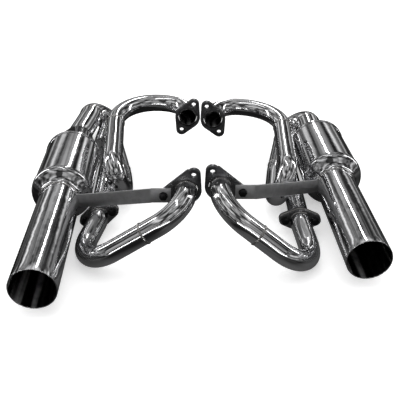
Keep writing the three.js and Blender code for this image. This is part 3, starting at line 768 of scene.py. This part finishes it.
def build_bank(name, bank):
    side = bank["side"]
    body = f"{name}_bank"

    def at(place):
        return Vector((side * place[0], place[1], place[2]))

    def piece(label, mesh, slot, material, *nodes):
        return make_piece(f"{name}_{label}", mesh, body, slot, material, [f"{name}_{n}" for n in nodes])

    def tube(label, line, start, end, node_name, outer=PRIMARY_R, wall=PRIMARY_WALL):
        mesh = tube_mesh(label, line, start, end, outer, wall)
        made = piece(label, mesh, "polished_stainless", TUBE_FINISH, node_name)
        split = TUBE_SIDES * (len(made.data.polygons) // TUBE_SIDES // 2 + 2)
        # Inner faces take the bore finish: painted shade inside the tube.
        line_bore(made, lambda face: face.index >= split)
        return made

    def bead(label, station, radius=PRIMARY_R - SKIN, **settings):
        piece(label, bead_mesh(label, station, radius, **settings), "polished_stainless", WELD_FINISH)

    def along(line, distance):
        return line.frames([distance])[0]

    # Front primary.
    front_port = at(bank["frontPort"])
    front_line = BentLine(
        [front_port, front_port + Vector((0, bank["archRise"], 0)), at(bank["archCorner"]),
         at(bank["legEnd"]), at(bank["returnStart"]), at(bank["returnMid"]), at(bank["returnEnd"])],
        [*bank["archRadii"], HOOK_R, HOOK_R, RETURN_BEND_R],
    )
    arch_end = sum(run["length"] for run in front_line.pieces[:4]) + ARCH_OVERRUN
    hook_end = front_line.length - RETURN_LENGTH
    tube("front_arch_pipe", front_line, TUBE_SET_BACK, arch_end, "front_arch_tube")
    tube("front_hook_pipe", front_line, arch_end, hook_end, "front_hook_tube")
    tube("front_return_pipe", front_line, hook_end, front_line.length, "front_return_tube")
    bead("front_port_weld", along(front_line, FLANGE_THICK + 0.6), width=4.5, height=1.4)
    bead("front_arch_weld", along(front_line, arch_end), width=4.6, height=1.7, pitch=3.4)
    bead("front_return_weld", along(front_line, hook_end))
    bead("front_collector_weld", along(front_line, front_line.length))

    # Rear primary.
    rear_port = at(bank["rearPort"])
    joint = at(bank["jointCentre"])
    riser_end = at(bank["riserEnd"])
    riser_way = (riser_end - joint).normalized()
    rear_line = BentLine(
        [rear_port, rear_port - Vector((0, bank["stub"], 0)), at(bank["sweepCorner"]),
         at(bank["hookCorner"]), joint - riser_way * JOINT_LEAD, joint],
        [*bank["sweepRadii"], JOINT_LEAD_R],
    )
    seam = sum(run["length"] for run in rear_line.pieces[:2]) + SWEEP_SEAM
    joint_face = JOINT_GASKET / 2 + GAP + JOINT_THICK
    riser_line = BentLine([joint, riser_end], [])
    tube("rear_sweep_pipe", rear_line, TUBE_SET_BACK, seam, "rear_sweep_tube")
    tube("rear_hook_pipe", rear_line, seam, rear_line.length - JOINT_SET_BACK, "rear_hook_tube")
    tube("rear_riser_pipe", riser_line, JOINT_SET_BACK, riser_line.length, "rear_riser_tube")
    bead("rear_port_weld", along(rear_line, FLANGE_THICK + 0.6), width=4.5, height=1.4)
    bead("rear_sweep_weld", along(rear_line, seam), width=4.6, height=1.7, pitch=3.4)
    bead("joint_lower_weld", along(rear_line, rear_line.length - joint_face - 0.5), width=3.6, height=1.3)
    bead("joint_upper_weld", along(riser_line, joint_face + 0.5), width=3.6, height=1.3)
    bead("rear_collector_weld", along(riser_line, riser_line.length), height=0.9)

    # Port flanges.
    stud_angle = math.pi / 2 + side * (math.pi / 2 - STUD_TILT)
    for label, port, facing in (("front", front_port, -1), ("rear", rear_port, 1)):
        mesh = port_flange_mesh(label, stud_angle, facing)
        mesh.transform(Matrix.Translation(port))
        piece(f"{label}_port_plate", mesh, "plated_flange", FLANGE_FINISH, f"{label}_port_flange")

    build_joint(piece, joint, riser_way, side * math.radians(bank["jointRoll"]))
    build_collector(bank, at, piece, bead, tube, front_line, riser_line)
    build_muffler(bank, at, piece, bead)
    build_strap(bank, at, piece)


def build_joint(piece, joint, way, roll):
    """The two-bolt joint, square to the riser."""
    matrix = (Matrix.Translation(joint) @ Matrix.Rotation(math.atan2(-way.x, way.y), 4, "Z")
              @ Matrix.Rotation(math.atan2(way.z, math.hypot(way.x, way.y)), 4, "X")
              @ Matrix.Rotation(roll, 4, "Y"))
    face = JOINT_GASKET / 2 + GAP
    for label, y in (("lower", -face - JOINT_THICK), ("upper", face)):
        mesh = oval_plate(label, JOINT_CENTRE_R, JOINT_LOBE_R, JOINT_BOLT_OFFSET, 0, PRIMARY_R,
                          BOLT_HOLE_R, JOINT_THICK)
        mesh.transform(matrix @ Matrix.Translation((0, y, 0)))
        piece(f"joint_plate_{label}", mesh, "plated_flange", FLANGE_FINISH, f"joint_flange_{label}")
    sheet = oval_plate("gasket", JOINT_CENTRE_R - 0.4, JOINT_LOBE_R - 0.4, JOINT_BOLT_OFFSET, 0,
                       PRIMARY_R - PRIMARY_WALL, BOLT_HOLE_R, JOINT_GASKET, 0.15)
    sheet.transform(matrix @ Matrix.Translation((0, -JOINT_GASKET / 2, 0)))
    piece("joint_gasket_sheet", sheet, "fibre_gasket", GASKET_FINISH, "joint_gasket")
    grip = 2 * (face + JOINT_THICK)
    for label, x in (("inner", -JOINT_BOLT_OFFSET), ("outer", JOINT_BOLT_OFFSET)):
        bolt = hex_bolt_mesh(label, grip)
        bolt.transform(matrix @ Matrix.Translation((x, -grip / 2, 0)))
        piece(f"joint_screw_{label}", bolt, "black_fastener", BLACK_FINISH, f"joint_bolt_{label}")
        nut = hex_nut_mesh(label)
        nut.transform(matrix @ Matrix.Translation((x, grip / 2 + GAP / 2, 0)))
        piece(f"joint_hexnut_{label}", nut, "black_fastener", BLACK_FINISH, f"joint_nut_{label}")


def build_collector(bank, at, piece, bead, tube, front_line, riser_line):
    bend = bank["returnBend"]

    def collector_at(y):
        return at((bend["collector"], y, bend["height"]))

    ends = [(at(bank["returnEnd"]), front_line.at(front_line.length)[1]),
            (at(bank["riserEnd"]), riser_line.at(riser_line.length)[1])]
    mouth = collector_at(COLLECTOR_START + COLLECTOR_MERGE)

    def merged(inset, early, late):
        body = BentLine([collector_at(COLLECTOR_START + inset - early), collector_at(bend["y"] + late)], [])
        result = rod_mesh("body", body, 0, body.length, COLLECTOR_R - SKIN - inset)
        for start, way in ends:
            corner = start + way * COLLECTOR_LEAD
            lead = BentLine([start - way * early, corner, mouth], [COLLECTOR_LEAD_R])
            rod = rod_mesh("lead", lead, 0, lead.length, PRIMARY_R - SKIN - inset)
            result = boolean(result, rod, "UNION")
        return result

    shape = boolean(merged(0, 0, 0), merged(PRIMARY_WALL, 1, 1), "DIFFERENCE")
    piece("merge_pipe", shape, "polished_stainless", TUBE_FINISH, "merge_collector")

    # Return bend and muffler inlet.
    low = collector_at(bend["y"])
    high = at((bend["inlet"], bend["y"], AXIS_HEIGHT))
    radius = (high - low).length / 2
    reach = Vector((0, radius, 0))
    bend_line = BentLine([low, low + reach, high + reach, high], [radius - 0.01, radius - 0.01])
    tube("return_bend_pipe", bend_line, 0, bend_line.length, "return_bend", COLLECTOR_R, COLLECTOR_WALL)
    bead("return_bend_weld_low", bend_line.frames([0])[0], COLLECTOR_R - SKIN)
    bead("return_bend_weld_high", bend_line.frames([bend_line.length])[0], COLLECTOR_R - SKIN)
    cone_tip = SHELL_LENGTH + bank["coneLength"]
    cone, lead = (at(muffler_point(bank, cone_tip + past)) for past in (0, INLET_LEAD))
    inlet_line = BentLine([cone, lead, high - Vector((0, INLET_LEAD, 0)), high], [INLET_LEAD_R] * 2)
    tube("inlet_pipe", inlet_line, 0, inlet_line.length, "muffler_inlet_tube", COLLECTOR_R, COLLECTOR_WALL)
    bead("inlet_cone_weld", inlet_line.frames([0])[0], COLLECTOR_R - SKIN)

    # Plugged sensor boss, saddled on the collector.
    out, y = bend["boss"]
    centre = at((out, y, 0))
    offset = abs(out) - bend["collector"]
    sides = 64
    profile = [(1.0, BOSS_TOP - 3.2), (3.4, BOSS_TOP - 3.2), (3.6, BOSS_TOP - 0.5), (5.6, BOSS_TOP - 0.4),
               (5.9, BOSS_TOP - 1.2), (6.2, BOSS_TOP - 0.2),
               (BOSS_R - 0.7, BOSS_TOP), (BOSS_R, BOSS_TOP - 0.7)]
    rings = [[centre + Vector((x, yy, z)) for x, yy in circle_points(r, sides)] for r, z in profile]

    def saddle(r, lift):
        ring = []
        for x, yy in circle_points(r, sides):
            across = bank["side"] * offset + x
            rise = bend["height"] + math.sqrt(COLLECTOR_R ** 2 - across ** 2) + lift
            ring.append(centre + Vector((x, yy, rise)))
        return ring

    rings += [saddle(BOSS_R, 2.2), saddle(BOSS_R + 0.8, 1.0), saddle(BOSS_R + 2.0, -0.2), saddle(2.0, -1.0)]
    piece("boss_plug", grid_mesh("boss", rings, caps=True), "polished_stainless", TUBE_FINISH, "sensor_boss")


def muffler_point(bank, distance):
    mouth, inlet = Vector(bank["mouth"]), Vector(bank["inlet"])
    way = (inlet - mouth).normalized()
    place = mouth + way * (bank["mouthToRim"] + distance)
    return place.x, place.y, AXIS_HEIGHT


def build_muffler(bank, at, piece, bead):
    front, back = at(muffler_point(bank, 0)), at(muffler_point(bank, SHELL_LENGTH))
    heading = math.atan2(front.x - back.x, back.y - front.y)
    matrix = Matrix.Translation(front) @ Matrix.Rotation(heading, 4, "Z")
    flip = Matrix.Translation((0, SHELL_LENGTH, 0)) @ Matrix.Rotation(math.pi, 4, "X")
    parts = (
        ("tip_pipe", tip_profile(bank["mouthToRim"]), matrix, "polished_stainless", TUBE_FINISH, "tail_tip"),
        ("front_cap", front_cap_profile(), matrix, "polished_stainless", CAP_FINISH, "front_end_cap"),
        ("shell_skin", shell_profile(), matrix, "shell_stainless", SHELL_FINISH, "muffler_shell"),
        ("rear_cap", rear_cap_profile(), matrix @ flip, "polished_stainless", TUBE_FINISH, "rear_end_cap"),
        ("cone_skin", cone_profile(bank["coneLength"]), matrix, "polished_stainless", TUBE_FINISH,
         "inlet_cone"),
    )
    for label, profile, place, slot, finish, node_name in parts:
        mesh = lathe_mesh(label, profile)
        mesh.transform(place)
        made = piece(label, mesh, slot, finish, node_name)
        if label == "tip_pipe":
            # The tip's inner faces take the bore finish: painted shade inside the mouth.
            outer_faces = (len(profile) - 14) * LATHE_SIDES
            line_bore(made, lambda face: face.index >= outer_faces - LATHE_SIDES)
    bead("tip_root_weld", axis_station(matrix, -NECK_LENGTH), TIP_R + 0.1, width=4.0, height=1.6, pitch=3.4)
    bead("cone_base_weld", axis_station(matrix, SHELL_LENGTH + 0.8), CONE_BASE_R, width=3.0, height=1.0)


# ---- Strap -----------------------------------------------------------------------------------

def build_strap(bank, at, piece):
    side = bank["side"]
    port = at(bank["rearPort"])
    bolt_x, bolt_z = side * BRACKET_BOLT[0], BRACKET_BOLT[1]
    outline = rounded_outline([(side * x, z) for x, z in BRACKET_OUTLINE], 7)
    bracket = plate_mesh("bracket", outline, [circle_points(BOLT_HOLE_R, 28, bolt_x, bolt_z)],
                         BRACKET_THICK - 0.2, 0.5)
    bracket.transform(Matrix.Translation(port + Vector((0, 0.1 - FLANGE_THICK, 0))))
    piece("bracket_plate", bracket, "plated_flange", FLANGE_FINISH, "strap_bracket")

    back = port.y - FLANGE_THICK - GAP
    middle = back - STRAP_THICK / 2
    start = Vector((port.x + bolt_x, middle, port.z + bolt_z))
    end = at(bank["strapEnd"])
    end.y -= STRAP_THICK / 2
    ear = start - Vector((side * STRAP_EAR, 0, 0))
    corner = start + Vector((side * STRAP_BEND, 0, 0))
    flat_end = Vector((end.x, end.y, corner.z))
    path = BentLine([ear, corner, flat_end], [10])
    knee = (corner - ear).length - 2
    front, rear = at(muffler_point(bank, -bank["mouthToRim"])), at(muffler_point(bank, 0))
    axis = (rear - front).normalized()
    half, thin, soft = STRAP_HEIGHT / 2, STRAP_THICK / 2, 0.7
    section = []
    for sx, sz in ((1, 1), (-1, 1), (-1, -1), (1, -1)):
        steps = range(4) if sx * sz > 0 else range(3, -1, -1)
        for k in steps:
            a = math.radians(90 * k / 3)
            section.append((sx * (thin - soft + soft * math.cos(a)), sz * (half - soft + soft * math.sin(a))))
    rings = []
    stations = path.stations(0, path.length)
    for i, distance in enumerate(stations):
        point, way = path.at(distance)
        past = max(0, distance - knee) / (path.length - knee)
        drop = (end.z - corner.z) * past
        across = Vector((way.y, -way.x, 0)).normalized()
        ring = [point + across * x + Vector((0, 0, z + drop)) for x, z in section]
        if i == len(stations) - 1:
            ring = [meet_tip(p, way, front, axis) for p in ring]
        rings.append(ring)
    strap = grid_mesh("strap", rings, uv_scale=(0.055, path.length / 1000), caps=True)
    piece("strap_bar", strap, "plated_strap", STRAP_FINISH, "support_strap")

    place = Matrix.Translation((start.x, back - STRAP_THICK, start.z))
    grip = BRACKET_THICK + STRAP_THICK + GAP
    bolt = hex_bolt_mesh("strap", grip)
    bolt.transform(place)
    piece("strap_screw", bolt, "black_fastener", BLACK_FINISH, "strap_bolt")
    nut = hex_nut_mesh("strap")
    nut.transform(place @ Matrix.Translation((0, grip + GAP, 0)))
    piece("strap_hexnut", nut, "black_fastener", BLACK_FINISH, "strap_nut")


def meet_tip(point, way, origin, axis):
    """Slide a point along the bar until it is on the tail tip's surface."""
    def clear(p):
        offset = p - origin
        return (offset - axis * offset.dot(axis)).length - TIP_R

    low, high = -8.0, 14.0
    for _ in range(30):
        middle = (low + high) / 2
        if clear(point + way * middle) > 0:
            low = middle
        else:
            high = middle
    return point + way * low


for bank_name, bank_places in BANKS.items():
    build_bank(bank_name, bank_places)
    for node_name, finish in (("perforated_core", CORE_FINISH), ("packing_sleeve", PACKING_FINISH)):
        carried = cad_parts[f"{bank_name}_{node_name}"]
        item = bpy.data.objects[carried] if isinstance(carried, str) else carried
        item.data.materials.clear()
        item.data.materials.append(finish)


# ---- Stage: pale floor, softboxes and the things the polish reflects --------------------------

def plane(name, size, location, rotation=(0, 0, 0)):
    mesh = bpy.data.meshes.new(name)
    half = [value / 2 for value in size]
    corners = [(-half[0], -half[1], 0), (half[0], -half[1], 0), (half[0], half[1], 0), (-half[0], half[1], 0)]
    mesh.from_pydata(corners, [], [(0, 1, 2, 3)])
    item = bpy.data.objects.new(name, mesh)
    item.location = location
    item.rotation_euler = rotation
    bpy.context.scene.collection.objects.link(item)
    return item


FLOOR_SIZE = (30, 30)     # metres
FLOOR_DROP = 0.0002       # keeps the floor just clear of the lowest tube
UNDER_DROP = 0.004        # dark glowing sheet that only the polish reflects: painted reflection of the shaded floor

floor_finish, floor_tree, floor_shader = new_material("pale_floor")
floor_shader.inputs["Base Color"].default_value = (0.93, 0.93, 0.93, 1)
floor_shader.inputs["Roughness"].default_value = 0.85
floor_shader.inputs["Specular IOR Level"].default_value = 0.1
floor_shader.inputs["Emission Color"].default_value = (1, 1, 1, 1)
floor_shader.inputs["Emission Strength"].default_value = 0.5
floor = plane("floor", FLOOR_SIZE, (0, 0, -FLOOR_DROP))
floor.data.materials.append(floor_finish)
floor.visible_glossy = False

# Painted reflection: a dark emitting sheet with lighter noise patches stands for the shaded floor seen in the
# polish.
under_finish, under_tree, under_shader = new_material("dark_under")
under_place = node(under_tree, "ShaderNodeTexCoord")
under_noise = noise(under_tree, under_place.outputs["Object"], 2.2, 2, 0.5)
painted_shade_glow = node(under_tree, "ShaderNodeEmission")
under_tree.links.new(
    toned(under_tree, under_noise, (0.012, 0.012, 0.012), (0.10, 0.10, 0.10), 0.45, 0.6),
    painted_shade_glow.inputs["Color"],
)
under_tree.links.new(painted_shade_glow.outputs["Emission"], under_tree.nodes["Material Output"].inputs["Surface"])
under = plane("dark_under", FLOOR_SIZE, (0, 0, -UNDER_DROP))
under.data.materials.append(under_finish)
under.visible_camera = False
under.visible_diffuse = False
under.visible_shadow = False

world = bpy.data.worlds.new("studio")
bpy.context.scene.world = world
world.use_nodes = True
sky = world.node_tree
sky_place = node(sky, "ShaderNodeTexCoord")
sky_split = node(sky, "ShaderNodeSeparateXYZ")
sky.links.new(sky_place.outputs["Generated"], sky_split.inputs["Vector"])
sky_bands = node(sky, "ShaderNodeValToRGB")
SKY_STOPS = ((0.0, 0.012), (0.47, 0.015), (0.515, 0.34), (0.55, 0.05), (0.60, 0.10), (0.645, 0.75),
             (0.68, 0.10), (0.75, 0.34), (0.80, 0.08), (0.87, 0.62), (0.91, 0.16), (1.0, 0.42))
ramp = sky_bands.color_ramp
while len(ramp.elements) < len(SKY_STOPS):
    ramp.elements.new(0.5)
for stop, (position, value) in zip(ramp.elements, SKY_STOPS):
    stop.position = position
    stop.color = (value, value, value, 1)
sky_height = node(sky, "ShaderNodeMapRange")
sky_height.inputs["From Min"].default_value = -1
sky.links.new(sky_split.outputs["Z"], sky_height.inputs["Value"])
sky.links.new(sky_height.outputs["Result"], sky_bands.inputs["Fac"])
sky_patches = noise(sky, sky_place.outputs["Generated"], 3.2, 4, 0.55)
sky_mix = node(sky, "ShaderNodeVectorMath", operation="MULTIPLY")
sky.links.new(sky_bands.outputs["Color"], sky_mix.inputs[0])
sky.links.new(toned(sky, sky_patches, (0.12, 0.12, 0.12), (1.7, 1.7, 1.7), 0.42, 0.58), sky_mix.inputs[1])
sky.links.new(sky_mix.outputs["Vector"], sky.nodes["Background"].inputs["Color"])
sky.nodes["Background"].inputs["Strength"].default_value = 1.0


def softbox(name, energy, size, location, target=(0, 0, 0.05), seen=True):
    light = bpy.data.lights.new(name, "AREA")
    light.energy = energy
    light.shape = "RECTANGLE"
    light.size, light.size_y = size
    item = bpy.data.objects.new(name, light)
    item.location = location
    aim = Vector(target) - Vector(location)
    item.rotation_euler = aim.to_track_quat("-Z", "Y").to_euler()
    item.visible_glossy = seen
    bpy.context.scene.collection.objects.link(item)
    return item


softbox("overhead", 210, (9, 9), (0, 0.2, 3.4), seen=False)
softbox("back_strip", 16, (0.22, 2.4), (0.15, 3.4, 2.3))
softbox("high_strip", 3, (0.10, 2.0), (-0.3, 0.4, 2.6))
softbox("low_strip", 7, (2.6, 0.14), (0, -2.6, 0.35))
softbox("left_strip", 11, (0.25, 2.2), (-2.6, 0.9, 1.3))
softbox("right_strip", 11, (0.25, 2.2), (2.6, 0.9, 1.3))

# ---- Camera ----------------------------------------------------------------------------------

CAMERA_PLACE = Vector((0, -1000, 632))
CAMERA_DROP = 30.5
LENS_LENGTH = 54
SENSOR_WIDTH = 36
lens = bpy.data.cameras.new("camera")
lens.lens = LENS_LENGTH
lens.sensor_width = SENSOR_WIDTH
camera = bpy.data.objects.new("camera", lens)
camera.location = (CAMERA_PLACE + SHIFT) / 1000
camera.rotation_euler = (math.radians(90 - CAMERA_DROP), 0, 0)
bpy.context.scene.collection.objects.link(camera)
bpy.context.scene.camera = camera
bpy.context.scene.view_settings.view_transform = "Standard"
